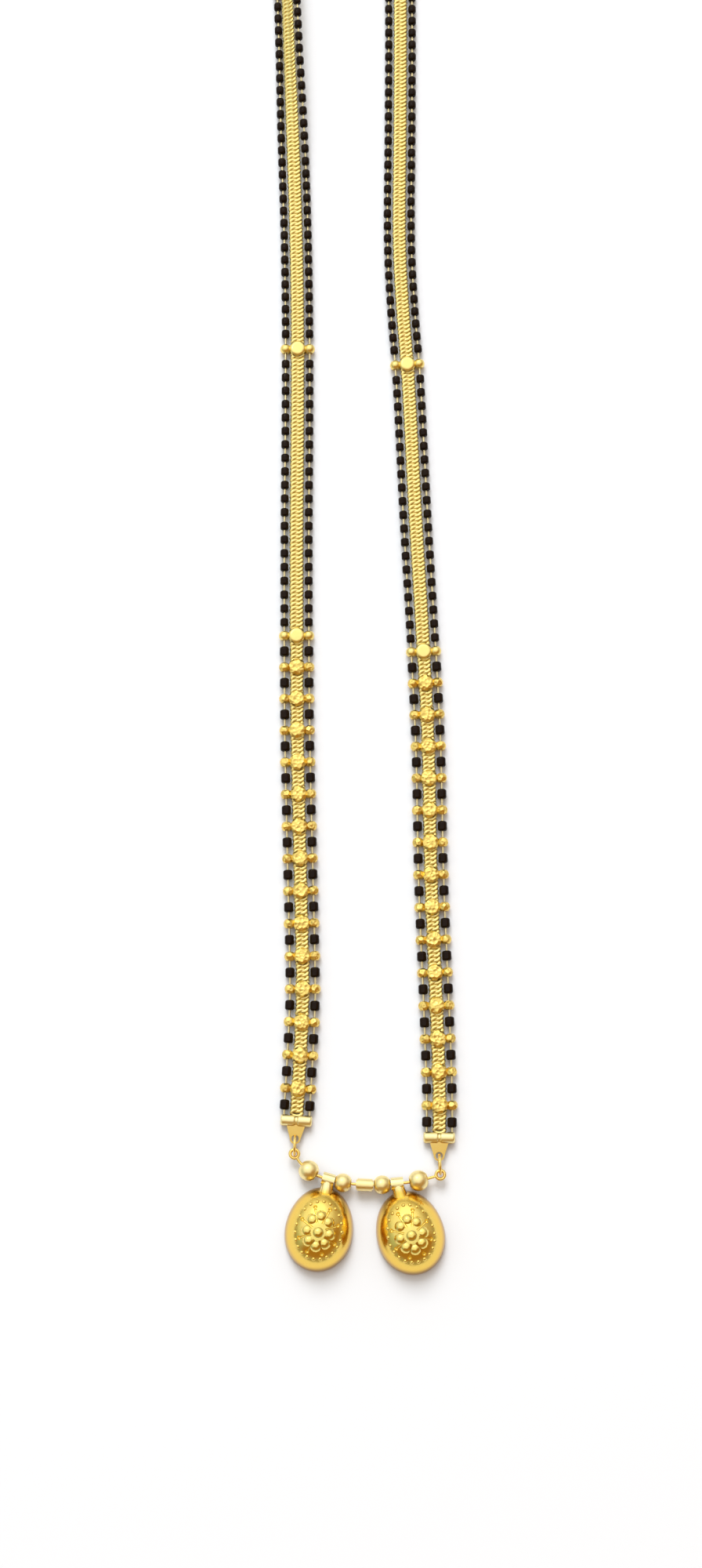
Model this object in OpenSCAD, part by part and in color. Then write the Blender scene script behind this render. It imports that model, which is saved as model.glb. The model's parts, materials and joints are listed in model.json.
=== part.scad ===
// Mangalsutra: two bead straps with a gold chain down the middle, joined in front by a wire that
// carries two vatis, and behind the neck by a hook. It lies open on a flat surface at z = 0,
// vatis towards -Y. A place on a strap is given by its distance up the strap and its offset across it.

/* [Straps] */
// Distance between the two bead strings of a strap, centre to centre
string_gap = 6.2; // [6.1:0.1:6.5]
// Number of pairs of large black beads in the lower stretch
lower_pairs = 15; // [10:1:18]
// Number of pairs of small black beads in the middle stretch
middle_pairs = 20; // [14:1:24]
// Number of pairs of small black beads in the upper stretch
upper_pairs = 40; // [30:1:44]
// Distance from one pair to the next in the lower stretch
lower_pitch = 8.15; // [7.2:0.05:9]
// Distance from one pair to the next in the middle stretch
middle_pitch = 3.62; // [3.2:0.02:4]
// Distance from one pair to the next in the upper stretch
upper_pitch = 3.4; // [3:0.02:3.8]
// Distance from an end bar to the first pair beside it
bar_to_bead = 3.7; // [3.4:0.1:4.4]
// Distance from the low spacer to the first pair of the middle stretch
low_spacer_to_bead = 3.5; // [3.2:0.1:4.4]
// Distance from the high spacer to the pair on each side of it
high_spacer_to_bead = 4.1; // [3.2:0.1:4.4]

/* [Beads and threads] */
// Diameter of a large black bead
large_bead_d = 2.35; // [2:0.05:2.4]
// Diameter of a small black bead
small_bead_d = 2.1; // [1.7:0.05:2.3]
// Length of a large black bead along its thread
large_bead_len = 2.5; // [1.8:0.1:2.6]
// Length of a small black bead along its thread
small_bead_len = 2.1; // [1.4:0.1:2.5]
// Diameter of the wire that the beads are threaded on
thread_d = 0.5; // [0.4:0.05:0.6]
// Play between a wire and the hole that it runs through
thread_play = 0.15; // [0.1:0.05:0.2]

/* [Centre chain] */
// Width of the flat chain beside the small beads
chain_w = 3.7; // [3.3:0.1:3.8]
// Width of the flat chain beside the large beads
lower_chain_w = 3.5; // [3:0.1:3.5]
// Thickness of the flat chain
chain_t = 1.3; // [0.9:0.1:1.4]
// Play round the chain where it runs through a collar
chain_play = 0.12; // [0.1:0.02:0.2]

/* [Ball bars and end bars] */
// Diameter of the two outer balls of a bar that ties the strings together
bar_ball_d = 2.75; // [2.4:0.05:2.8]
// Diameter of the flattened ball in the middle of such a bar, seen from above
middle_ball_d = 4.4; // [4.3:0.1:4.6]
// Diameter of an end bar
end_bar_d = 2.8; // [2.7:0.05:3.2]
// Length of an end bar across the strap
end_bar_len = 7.7; // [7.6:0.1:8.5]
// Thickness of the eyed tab of an end bar
tab_t = 0.7; // [0.5:0.05:0.8]
// Distance from the middle of an end bar to its eye
eye_reach = 4.4; // [4.2:0.1:5]
// Diameter of the eye in the tab
eye_d = 1.8; // [1.7:0.05:2]
// Width of the metal round the eye
eye_rim = 0.4; // [0.35:0.05:0.5]

/* [Rings and hook] */
// Diameter of a jump ring, from the middle of its wire
ring_d = 4.6; // [4.4:0.1:5]
// Diameter of the wire of the jump rings
ring_wire_d = 0.6; // [0.5:0.05:0.65]
// Diameter of the hook's wire
hook_wire_d = 1; // [0.8:0.1:1.1]
// Diameter of the hook's loops, from the middle of the wire
hook_loop_d = 4.4; // [4:0.1:5]

/* [Row of gold beads] */
// Diameter of the wire that carries the vatis
row_wire_d = 0.7; // [0.6:0.05:0.9]
// Diameter of the wire's end loops, from the middle of the wire
row_loop_d = 2.1; // [2.05:0.05:2.4]
// Diameter of the two outer balls
outer_ball_d = 5; // [4.6:0.1:5.2]
// Diameter of the two inner balls
inner_ball_d = 4.5; // [4:0.1:4.6]
// How much shorter than their diameter the balls are along the wire
ball_flat = 0.5; // [0.3:0.1:0.8]
// Length of the barrel in the middle
barrel_len = 4.2; // [3.6:0.1:5]
// Diameter of the barrel
barrel_d = 3; // [2.6:0.1:3.4]
// Play between the row's wire and the pieces on it
row_play = 0.3; // [0.25:0.05:0.35]
// Bare wire between the left end loop and the ball beside it
left_bare = 2.1; // [1.6:0.1:3]
// Bare wire between the right end loop and the ball beside it
right_bare = 2.2; // [1.6:0.1:3]
// Bare wire between an outer ball and the bail beside it
ball_to_bail = 1.5; // [0.8:0.1:2]
// Bare wire beside the barrel, on its left
barrel_slack = 1.2; // [0.6:0.1:1.6]
// Gap between pieces that lie against each other on the wire
bead_play = 0.15; // [0.1:0.05:0.3]

/* [Vatis] */
// Width of a vati
vati_w = 16.6; // [15:0.2:18]
// Distance from the widest place of a vati up to its neck
vati_top = 11; // [10:0.2:12]
// Distance from the widest place of a vati down to its lower end
vati_bottom = 9.4; // [8.6:0.2:10.4]
// Thickness of a vati's sheet
vati_wall = 0.8; // [0.6:0.1:1]
// Distance from the bail's bore to the widest place
vati_hang = 12.9; // [12.8:0.1:14]
// Diameter of a bail
bail_d = 3.1; // [2.8:0.1:3.4]
// Length of a bail along the wire
bail_len = 3; // [2.4:0.1:3.6]
// Diameter of the neck at the bail
neck_d = 2.6; // [2.4:0.1:3]
// Diameter of the neck where it runs into the vati
neck_foot_d = 3.8; // [3.2:0.1:4.2]
// How far the left vati leans outwards, in degrees
left_lean = 10.5; // [5:0.5:16]
// How far the right vati leans outwards, in degrees
right_lean = 15; // [5:0.5:16]

/* [Ornament] */
// Number of petals round the middle of a vati
petals = 8; // [6:1:10]
// Diameter of a petal's rounded top
petal_d = 3.4; // [2.6:0.1:3.6]
// How far the petals stand out
petal_rise = 0.5; // [0.2:0.05:0.6]
// Number of grains in the outer ring
grains = 22; // [16:2:26]
// Diameter of a grain
grain_d = 1; // [0.7:0.05:1.1]
// Diameter of the punched dots
dot_d = 1; // [0.6:0.05:1.1]
// Width of the grooves between the petals
groove_w = 0.6; // [0.4:0.05:0.65]

/* [Hidden] */
$fn = 48;

gold = [0.93, 0.72, 0.25];
pale_gold = [0.91, 0.82, 0.5];
black = [0.06, 0.05, 0.05];

LEFT = -1;
RIGHT = 1;
OUTER = 1;
INNER = -1;
SIDES = 8;           // sides of a swept wire
LOOP_SIDES = 16;     // sides of a small loop seen from above
CURVE_STEPS = 6;     // steps between two chosen points of a route
LOOK = 0.5;          // half of the length over which a route's direction is measured
WIRE_STEP = 5;       // length of one straight piece of a thread or chain
TUBE_STEP = 4;       // length of one straight piece of a tube of beads
ARC_STEP = 20;       // degrees turned by one straight piece of the hook
GAP = 0.15;          // gap between pieces that meet
RING_GAP = 0.08;     // gap between a jump ring and the eye that it pulls on
bead_round = 0.24;   // rounding of a bead's edges, as a share of its diameter
end_hole_depth = 1.1; // depth of an end bar's holes, measured from its middle to its face
end_hole_clear = 0.3; // gap between the end of a wire and the bottom of its hole
end_groove = 0.3;    // width and depth of the groove between an end bar's two lobes
end_round = 0.6;     // rounding of a lobe's edges
bar_ball_len = 2.2;  // length of an outer ball of a bar along its string
middle_half = 1.3;   // half of the height of a middle ball
middle_edge = 1;     // radius of its rounded edges
hook_turn = 300;     // degrees that a loop of the hook goes round
petal_tilt = 22;     // places on a vati's dome, in degrees from its top
groove_in_tilt = 12;
groove_out_tilt = 32;
dot_tilt = 35;
grain_tilt = 43;
neck_in = 2.4;       // how far the neck runs into the vati
outline_step = 6;    // degrees between two points of a vati's outline

// Routes, each a few chosen points on the surface. They are drawn to the length of what lies on them.
// The row's wire, from its left loop to its right loop
row_route = [[-16, -163], [-14.2, -165.6], [-11.3, -167.8], [-7.5, -169.3], [-3, -170.2],
    [3, -170.6], [9, -170.3], [14.2, -169.6], [17.4, -168.9], [20, -168.1]];
// The middle line of each strap, from its front end bar to its back end bar
left_route = [[-15.2, -155.2], [-14.6, -145], [-13.9, -130], [-13.8, -118], [-14.6, -88],
    [-15.4, -55], [-15.7, -11], [-15.6, 22], [-15.7, 50], [-16.2, 75], [-17.1, 100], [-18.5, 133],
    [-19.2, 155], [-18.9, 169], [-16.8, 182]];
right_route = [[19.1, -158.3], [19.2, -147], [18.6, -126], [17.5, -95], [17, -62], [15.9, -36],
    [14, 0], [12.4, 35], [11, 55], [10.2, 75], [10.5, 105], [10.7, 135],
    [10.5, 154], [9.9, 167], [7.9, 179.8]];
left_lead = 88;      // headings of the two front rings, up from the row
right_lead = 93;
// How the upper part of the left strap tips on its outer edge: [share of its length, degrees]
left_tip = [[0, 0], [0.73, 0], [0.785, -18], [0.825, -30], [0.87, -33], [0.93, -20], [1, 0]];

// A smooth curve through p, with CURVE_STEPS steps from each point to the next
function curve_point(a, b, c, d, t) = (2 * b + (c - a) * t
    + (2 * a - 5 * b + 4 * c - d) * t * t + (3 * b - a - 3 * c + d) * t * t * t) / 2;
function before(p, i) = i == 0 ? 2 * p[0] - p[1] : p[i - 1];
function after(p, i) = i == len(p) - 1 ? 2 * p[i] - p[i - 1] : p[i + 1];
function curve(p) = concat(
    [for (i = [0:len(p) - 2], k = [0:CURVE_STEPS - 1])
        curve_point(before(p, i), p[i], p[i + 1], after(p, i + 1), k / CURVE_STEPS)],
    [p[len(p) - 1]]);
// Each point of a path with the length up to it: [length, x, y]
function measured(p) = [for (i = 0, s = 0; i < len(p);
    s = i < len(p) - 1 ? s + norm(p[i + 1] - p[i]) : s, i = i + 1) [s, p[i].x, p[i].y]];
function length_of(table) = table[len(table) - 1][0];
// A route's curve, moved to begin at start and drawn to a length of total
function drawn(route, start, total) =
    let (m = measured(curve(route)), k = total / length_of(m))
    [for (q = m) [q[0] * k, start.x + (q[1] - m[0][1]) * k, start.y + (q[2] - m[0][2]) * k]];
function at(table, s) = [
    lookup(s, [for (q = table) [q[0], q[1]]]),
    lookup(s, [for (q = table) [q[0], q[2]]])];
function heading(table, s) =
    let (a = at(table, max(s - LOOK, 0)), b = at(table, min(s + LOOK, length_of(table))))
    atan2(b.y - a.y, b.x - a.x);
function along(angle, r) = [cos(angle), sin(angle)] * r;

// Places up a strap, from the middle of its front end bar
first_lower = bar_to_bead;
low_spacer_at = first_lower + (lower_pairs - 0.5) * lower_pitch;
first_middle = low_spacer_at + low_spacer_to_bead;
high_spacer_at = first_middle + (middle_pairs - 1) * middle_pitch + high_spacer_to_bead;
first_upper = high_spacer_at + high_spacer_to_bead;
strap_len = first_upper + (upper_pairs - 1) * upper_pitch + bar_to_bead;
strap_z = end_bar_d / 2;
bore_d = thread_d + 2 * thread_play;

// Places along the row's wire, from the middle of its left loop
loop_r = row_loop_d / 2;
loop_wire_d = 1.15 * row_wire_d;
outer_half = (outer_ball_d - ball_flat) / 2;
inner_half = (inner_ball_d - ball_flat) / 2;
ball_1_at = loop_r + left_bare + outer_half;
left_bail_at = ball_1_at + outer_half + ball_to_bail + bail_len / 2;
ball_2_at = left_bail_at + bail_len / 2 + bead_play + inner_half;
barrel_at = ball_2_at + inner_half + barrel_slack + barrel_len / 2;
ball_3_at = barrel_at + barrel_len / 2 + bead_play + inner_half;
right_bail_at = ball_3_at + inner_half + bead_play + bail_len / 2;
ball_4_at = right_bail_at + bail_len / 2 + ball_to_bail + outer_half;
row_len = ball_4_at + outer_half + right_bare + loop_r;
row_z = outer_ball_d / 2;
row_bore_d = row_wire_d + 2 * row_play;
row = drawn(row_route, row_route[0], row_len);
function row_point(s) = [at(row, s).x, at(row, s).y, row_z];

// A jump ring stands on edge, its wire going down through an eye or a loop on each side of its
// middle. The left ring is slack in its eye and loop, the others are drawn out.
ring_z = (ring_d + ring_wire_d) / 2;
function ring_half(z) = sqrt(pow(ring_d / 2, 2) - pow(ring_z - z, 2));
// How far the ring's wire reaches to each side of where it passes a height, within a thickness t
function ring_outward(z, t) = max(ring_half(z + t / 2) - ring_half(z), 0)
    + ring_wire_d / 2 * ring_d / 2 / ring_half(z);
function ring_inward(z, t) = max(ring_half(z) - ring_half(z - t / 2), 0)
    + ring_wire_d / 2 * ring_d / 2 / ring_half(z - t / 2);
eye_slack = eye_d / 2 - ring_outward(strap_z, tab_t) - RING_GAP;
eye_taut = eye_d / 2 - ring_inward(strap_z, tab_t) - RING_GAP;
loop_slack = loop_r - loop_wire_d / 2 - ring_outward(row_z, loop_wire_d) - RING_GAP;
loop_taut = loop_r - loop_wire_d / 2 - ring_inward(row_z, loop_wire_d) - RING_GAP;
left_ring_at = at(row, 0) + along(left_lead, ring_half(row_z) - loop_slack);
right_ring_at = at(row, row_len) + along(right_lead, ring_half(row_z) + loop_taut);
left_eye_at = left_ring_at + along(left_lead, ring_half(strap_z) - eye_slack);
right_eye_at = right_ring_at + along(right_lead, ring_half(strap_z) + eye_taut);

// The straps, each from its front end bar, whose eye is on its ring
function first_heading(route) = heading(measured(curve(route)), 0);
left_strap = drawn(left_route, left_eye_at + along(first_heading(left_route), eye_reach), strap_len);
right_strap = drawn(right_route, right_eye_at + along(first_heading(right_route), eye_reach), strap_len);
function strap(side) = side == LEFT ? left_strap : right_strap;
function tip(side, s) = side == LEFT ? lookup(s / strap_len, left_tip) : 0;
function strap_point(side, s, across) =
    let (p = at(strap(side), s), h = heading(strap(side), s) - 90, roll = tip(side, s))
    [p.x + across * cos(roll) * cos(h), p.y + across * cos(roll) * sin(h),
        strap_z + string_gap / 2 * sin(abs(roll)) - across * sin(roll)];
function string_offset(side, string) = side * string * string_gap / 2;

// The back, drawn out: an eye, a ring, the hook, a ring and an eye
function back_eye(side) = at(strap(side), strap_len) + along(heading(strap(side), strap_len), eye_reach);
back_line = back_eye(RIGHT) - back_eye(LEFT);
hook_lead = atan2(back_line.y, back_line.x);
hook_z = strap_z;
back_ring_in = ring_half(strap_z) + eye_taut;
function back_ring_at(side) = back_eye(side) - side * along(hook_lead, back_ring_in);
// The hook's wire lies inside the ring, this far past its middle
hook_past = sqrt(max(0, pow((ring_d - ring_wire_d - hook_wire_d) / 2 - GAP, 2) - pow(ring_z - hook_z, 2)));
// Distance between the middles of the hook's two loops
hook_reach = norm(back_line) - 2 * (back_ring_in + hook_past + hook_loop_d / 2);
hook_middle = (back_eye(LEFT) + back_eye(RIGHT)) / 2;

// The whole is centred on the box that it fills
vati_half_w = vati_w / 2;
function across_half(long, turn) = norm([vati_half_w * cos(turn), long * sin(turn)]);
function along_half(long, turn) = norm([vati_half_w * sin(turn), long * cos(turn)]);
left_vati_middle = at(row, left_bail_at) + along(270 - left_lean, vati_hang);
right_vati_middle = at(row, right_bail_at) + along(270 + right_lean, vati_hang);
function strap_edge(side) = side * max([for (q = strap(side))
    side * strap_point(side, q[0], string_offset(side, OUTER)).x
        + (q[0] < high_spacer_at ? bar_ball_d : small_bead_d) / 2]);
box_left = min(strap_edge(LEFT), left_vati_middle.x - across_half(vati_bottom, left_lean));
box_right = max(strap_edge(RIGHT), right_vati_middle.x + across_half(vati_bottom, right_lean));
box_front = min(left_vati_middle.y - along_half(vati_bottom, left_lean),
    right_vati_middle.y - along_half(vati_bottom, right_lean));
box_back = hook_middle.y + hook_reach / 2 * abs(sin(hook_lead)) + (hook_loop_d + hook_wire_d) / 2;
module centred() {
    translate([-(box_left + box_right) / 2, -(box_front + box_back) / 2, 0]) children();
}

// A bar of SIDES sides swept along points: reaches hold half its width and height at each point,
// rolls its turn about its own line
function section(p, t, reach, roll) =
    let (u = cross(t, [0, 0, 1]), x = u / norm(u), z = cross(x, t),
        side = x * cos(roll) - z * sin(roll), up = z * cos(roll) + x * sin(roll))
    [for (k = [0:SIDES - 1]) let (a = 360 * (k + 0.5) / SIDES)
        p + reach.x / cos(180 / SIDES) * cos(a) * side + reach.y / cos(180 / SIDES) * sin(a) * up];
module sweep(points, reaches, rolls) {
    last = len(points) - 1;
    rings = [for (i = [0:last]) let (d = points[min(i + 1, last)] - points[max(i - 1, 0)])
        each section(points[i], d / norm(d), reaches[i], rolls[i])];
    walls = [for (i = [0:last - 1], k = [0:SIDES - 1])
        let (a = i * SIDES + k, b = i * SIDES + (k + 1) % SIDES) [a, b, b + SIDES, a + SIDES]];
    ends = [[for (k = [SIDES - 1:-1:0]) k], [for (k = [0:SIDES - 1]) last * SIDES + k]];
    polyhedron(rings, concat(walls, ends));
}
module wire(points, d) {
    sweep(points, [for (p = points) [d, d] / 2], [for (p = points) 0]);
}
// Places up a strap, no further apart than step
function places(from, to, step) =
    let (n = ceil((to - from) / step)) [for (i = [0:n]) from + (to - from) * i / n];
module strap_wire(side, across, from, to, step, d) {
    wire([for (s = places(from, to, step)) strap_point(side, s, across)], d);
}

module on_strap(side, s, across = 0) {
    translate(strap_point(side, s, across))
        rotate([0, 0, heading(strap(side), s) - 90])
            rotate([0, tip(side, s), 0])
                children();
}
module on_row(s) {
    translate(row_point(s)) rotate([0, 0, heading(row, s)]) children();
}

// A drilled ball with flat ends, its hole along y
module ball(d, l, hole) {
    rotate([90, 0, 0]) rotate_extrude() intersection() {
        circle(d = d);
        translate([hole / 2, -l / 2]) square([d, l]);
    }
}
// A drilled bead, a drum with rounded edges, its hole along y
module bead(d, l, hole) {
    edge = bead_round * d;
    rotate([90, 0, 0]) rotate_extrude() {
        translate([hole / 2, -l / 2]) square([(d - hole) / 2 - edge, l]);
        translate([hole / 2, edge - l / 2]) square([(d - hole) / 2, l - 2 * edge]);
        for (flip = [0, 1]) mirror([0, flip]) translate([d / 2 - edge, l / 2 - edge]) intersection() {
            circle(r = edge);
            square(edge);
        }
    }
}
module string_beads(side, string, first, count, pitch, d, l) {
    color(black) for (i = [0:count - 1])
        on_strap(side, first + i * pitch, string_offset(side, string)) bead(d, l, bore_d);
}
module lower_beads(side, string) {
    string_beads(side, string, first_lower, lower_pairs, lower_pitch, large_bead_d, large_bead_len);
}
module middle_beads(side, string) {
    string_beads(side, string, first_middle, middle_pairs, middle_pitch, small_bead_d, small_bead_len);
}
// The upper stretch of one string, as the tube that its small beads fill
module upper_string(side, string) {
    color(black) strap_wire(side, string_offset(side, string), high_spacer_at + bar_ball_d / 2 + GAP,
        strap_len - end_bar_d / 2 - GAP, TUBE_STEP, small_bead_d);
}
module thread(side, string) {
    color(gold) strap_wire(side, string_offset(side, string), wire_start,
        high_spacer_at + bar_ball_d / 2 - GAP, WIRE_STEP, thread_d);
}
end_hole_floor = end_bar_d / 2 - end_hole_depth;
wire_start = end_hole_floor + end_hole_clear;

module chain(side) {
    p = places(wire_start, strap_len - wire_start, WIRE_STEP);
    color(pale_gold) sweep([for (s = p) strap_point(side, s, 0)],
        [for (s = p) [s < low_spacer_at ? lower_chain_w : chain_w, chain_t] / 2], [for (s = p) tip(side, s)]);
}
// A flat slot for the chain, through what lies across the strap
module chain_slot(depth) {
    cube([chain_w + 2 * chain_play, depth, chain_t + 2 * chain_play], center = true);
}

// Three balls soldered in a row across the strap: the outer two are drilled for the strings, the
// flattened one between them is slotted for the chain
module ball_bar() {
    difference() {
        union() {
            for (x = [-1, 1] * string_gap / 2) translate([x, 0, 0]) rotate([0, 90, 0])
                ball(bar_ball_d, bar_ball_len, bore_d);
            rotate([0, 0, 90]) translate([0, 0, -middle_half])
                rounded_drum(middle_ball_d / 2, 2 * middle_half, middle_edge);
        }
        chain_slot(2 * middle_ball_d);
    }
}
module ball_bars(side) {
    color(gold) for (i = [0:lower_pairs - 2])
        on_strap(side, first_lower + (i + 0.5) * lower_pitch) ball_bar();
}
module cross_spacer(side, s) {
    color(gold) on_strap(side, s) ball_bar();
}

// A bar of two lobes that the strings and the chain end in, with a tab and an eye below it
module end_bar() {
    lobe_len = (end_bar_len - end_groove) / 2;
    difference() {
        union() {
            rotate([0, 90, 0]) {
                cylinder(d = end_bar_d - 2 * end_groove, h = end_bar_len / 2, center = true);
                for (flip = [0, 1]) mirror([0, 0, flip]) translate([0, 0, end_groove / 2])
                    rounded_drum(end_bar_d / 2, lobe_len, end_round);
            }
            tab();
        }
        for (x = [-1, 1] * string_gap / 2) translate([x, end_hole_floor, 0])
            rotate([-90, 0, 0]) cylinder(d = bore_d, h = end_bar_d);
        translate([0, end_hole_floor + end_bar_d / 2, 0]) chain_slot(end_bar_d);
    }
}
// A drum of radius r and length l with rounded edges, standing on its end
module rounded_drum(r, l, edge) {
    rotate_extrude() {
        square([r - edge, l]);
        translate([0, edge]) square([r, l - 2 * edge]);
        for (y = [edge, l - edge]) translate([r - edge, y]) circle(r = edge);
    }
}
module tab() {
    eye_r = eye_d / 2 + eye_rim;
    half_w = end_bar_len / 2 - 2 * end_round;
    difference() {
        translate([0, 0, -tab_t / 2]) linear_extrude(tab_t) {
            polygon([[-half_w, 0], [-eye_r, -eye_reach], [eye_r, -eye_reach], [half_w, 0]]);
            translate([0, -eye_reach]) circle(r = eye_r);
        }
        translate([0, -eye_reach, 0]) cylinder(d = eye_d, h = 2 * tab_t, center = true);
    }
}
module front_bar(side) {
    color(gold) on_strap(side, 0) end_bar();
}
module back_bar(side) {
    color(gold) on_strap(side, strap_len) rotate([0, 0, 180]) end_bar();
}

// A jump ring on edge, its plane along a heading
module jump_ring(place, lead) {
    color(gold) translate([place.x, place.y, ring_z]) rotate([0, 0, lead]) rotate([90, 0, 0])
        rotate_extrude() translate([ring_d / 2, 0]) circle(d = ring_wire_d);
}
// An S of wire whose two loops hold the back rings
module hook() {
    r = hook_loop_d / 2;
    lean = asin(hook_loop_d / hook_reach);
    arc = [for (a = [hook_turn:-ARC_STEP:0]) [-hook_reach / 2, 0] + along(90 - lean + a, r)];
    line = [for (p = concat(arc, [for (i = [len(arc) - 1:-1:0]) -arc[i]])) [p.x, p.y, 0]];
    color(gold) translate([hook_middle.x, hook_middle.y, hook_z]) rotate([0, 0, hook_lead])
        wire(line, hook_wire_d);
}

// The stiff wire of the front row, closed in a loop at each end
module row_wire() {
    n = ceil((row_len - 2 * loop_r) / (2 * row_wire_d));
    color(gold) {
        wire([for (i = [0:n]) row_point(loop_r + (row_len - 2 * loop_r) * i / n)], row_wire_d);
        for (s = [0, row_len]) translate(row_point(s))
            rotate_extrude($fn = LOOP_SIDES) translate([loop_r, 0]) circle(d = loop_wire_d, $fn = SIDES);
    }
}
module row_ball(s, d) {
    color(gold) on_row(s) rotate([0, 0, 90]) ball(d, d - ball_flat, row_bore_d);
}
module barrel() {
    color(gold) on_row(barrel_at) rotate([0, 90, 0]) difference() {
        union() {
            cylinder(d = barrel_d, h = barrel_len - 2 * end_groove, center = true);
            cylinder(d = barrel_d - 2 * end_groove, h = barrel_len, center = true);
        }
        cylinder(d = row_bore_d, h = 2 * barrel_len, center = true);
    }
}

// A vati is half of a hollow drop, lying on its open side. Its outline is two half ovals that meet
// at its widest place, and the ornament stands on the dome or is cut into it.
function vati_outline(w, top, bottom) = [for (a = [-90:outline_step:90])
    [w / 2 * cos(a), vati_hang + (a < 0 ? top : bottom) * sin(a)]];
module half_turned(outline) {
    rotate([90, 0, 0]) rotate_extrude(angle = 180) polygon(outline);
}
// A point on the dome: tilt is measured from its top, turn goes round it
function reach_of(turn) = [vati_half_w, sin(turn) > 0 ? vati_top : vati_bottom, vati_half_w];
function dome_direction(tilt, turn) = [sin(tilt) * cos(turn), sin(tilt) * sin(turn), cos(tilt)];
function by_parts(a, b) = [a.x * b.x, a.y * b.y, a.z * b.z];
function over_parts(a, b) = [a.x / b.x, a.y / b.y, a.z / b.z];
function dome_point(tilt, turn) = by_parts(dome_direction(tilt, turn), reach_of(turn)) - [0, vati_hang, 0];
function dome_normal(tilt, turn) =
    let (n = over_parts(dome_direction(tilt, turn), reach_of(turn))) n / norm(n);
module ball_on_dome(tilt, turn, d, rise) {
    translate(dome_point(tilt, turn) - dome_normal(tilt, turn) * (d / 2 - rise)) sphere(d = d);
}
module groove_in_dome(turn) {
    from = dome_point(groove_in_tilt, turn);
    v = dome_point(groove_out_tilt, turn) - from;
    translate(from) rotate([0, acos(v.z / norm(v)), atan2(v.y, v.x)]) cylinder(d = groove_w, h = norm(v));
}
module vati_cup() {
    difference() {
        union() {
            half_turned(vati_outline(vati_w, vati_top, vati_bottom));
            ball_on_dome(0, 0, petal_d, petal_rise);
            for (i = [0:petals - 1]) ball_on_dome(petal_tilt, 360 * i / petals, petal_d, petal_rise);
            for (i = [0:grains - 1]) ball_on_dome(grain_tilt, 360 * (i + 0.5) / grains, grain_d, grain_d / 3);
            translate([0, 0, row_z]) rotate([90, 0, 0])
                cylinder(d1 = neck_d, d2 = neck_foot_d, h = vati_hang - vati_top + neck_in);
        }
        half_turned(vati_outline(vati_w - 2 * vati_wall, vati_top - vati_wall, vati_bottom - vati_wall));
        for (i = [0:petals - 1]) {
            groove_in_dome(360 * (i + 0.5) / petals);
            translate(dome_point(dot_tilt, 360 * (i + 0.5) / petals)) sphere(d = dot_d);
        }
    }
}
module vati(s, turn) {
    color(gold) difference() {
        union() {
            translate([at(row, s).x, at(row, s).y, 0]) rotate([0, 0, turn]) vati_cup();
            on_row(s) rotate([0, 90, 0]) cylinder(d = bail_d, h = bail_len, center = true);
        }
        on_row(s) rotate([0, 90, 0]) cylinder(d = row_bore_d, h = 2 * bail_len, center = true);
    }
}

centred() vati(left_bail_at, -left_lean);  // left_vati
centred() vati(right_bail_at, right_lean);  // right_vati
centred() row_wire();
centred() row_ball(ball_1_at, outer_ball_d);  // ball_1
centred() row_ball(ball_2_at, inner_ball_d);  // ball_2
centred() row_ball(ball_3_at, inner_ball_d);  // ball_3
centred() row_ball(ball_4_at, outer_ball_d);  // ball_4
centred() barrel();
centred() jump_ring(left_ring_at, left_lead);  // left_ring
centred() jump_ring(right_ring_at, right_lead);  // right_ring
centred() front_bar(LEFT);  // left_end_bar
centred() front_bar(RIGHT);  // right_end_bar
centred() ball_bars(LEFT);  // left_ball_bars
centred() ball_bars(RIGHT);  // right_ball_bars
centred() cross_spacer(LEFT, low_spacer_at);  // left_low_spacer
centred() cross_spacer(RIGHT, low_spacer_at);  // right_low_spacer
centred() cross_spacer(LEFT, high_spacer_at);  // left_high_spacer
centred() cross_spacer(RIGHT, high_spacer_at);  // right_high_spacer
centred() chain(LEFT);  // left_chain
centred() chain(RIGHT);  // right_chain
centred() lower_beads(LEFT, OUTER);  // left_outer_lower_beads
centred() lower_beads(LEFT, INNER);  // left_inner_lower_beads
centred() lower_beads(RIGHT, OUTER);  // right_outer_lower_beads
centred() lower_beads(RIGHT, INNER);  // right_inner_lower_beads
centred() middle_beads(LEFT, OUTER);  // left_outer_middle_beads
centred() middle_beads(LEFT, INNER);  // left_inner_middle_beads
centred() middle_beads(RIGHT, OUTER);  // right_outer_middle_beads
centred() middle_beads(RIGHT, INNER);  // right_inner_middle_beads
centred() upper_string(LEFT, OUTER);  // left_outer_upper_string
centred() upper_string(LEFT, INNER);  // left_inner_upper_string
centred() upper_string(RIGHT, OUTER);  // right_outer_upper_string
centred() upper_string(RIGHT, INNER);  // right_inner_upper_string
centred() thread(LEFT, OUTER);  // left_outer_thread
centred() thread(LEFT, INNER);  // left_inner_thread
centred() thread(RIGHT, OUTER);  // right_outer_thread
centred() thread(RIGHT, INNER);  // right_inner_thread
centred() back_bar(LEFT);  // left_back_bar
centred() back_bar(RIGHT);  // right_back_bar
centred() jump_ring(back_ring_at(LEFT), hook_lead);  // left_back_ring
centred() jump_ring(back_ring_at(RIGHT), hook_lead);  // right_back_ring
centred() hook();
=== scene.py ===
# %% [markdown]
# # A mangalsutra, lying open
# The necklace is two flat straps that meet behind the neck. Each strap is two strings of black
# glass beads with a flat gold chain between them. In front a stiff wire joins the straps, and
# carries round gold balls, a small barrel and two vatis, the hollow gold cups.
#
# The solids of the frame already have every shape and place, so this script dresses them: it
# gives the metal its polish, strings the small beads of the upper stretch one by one, weaves the
# flat chain link by link, and lights the whole as the photograph does.

# %% The frame
import json
import math

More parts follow.
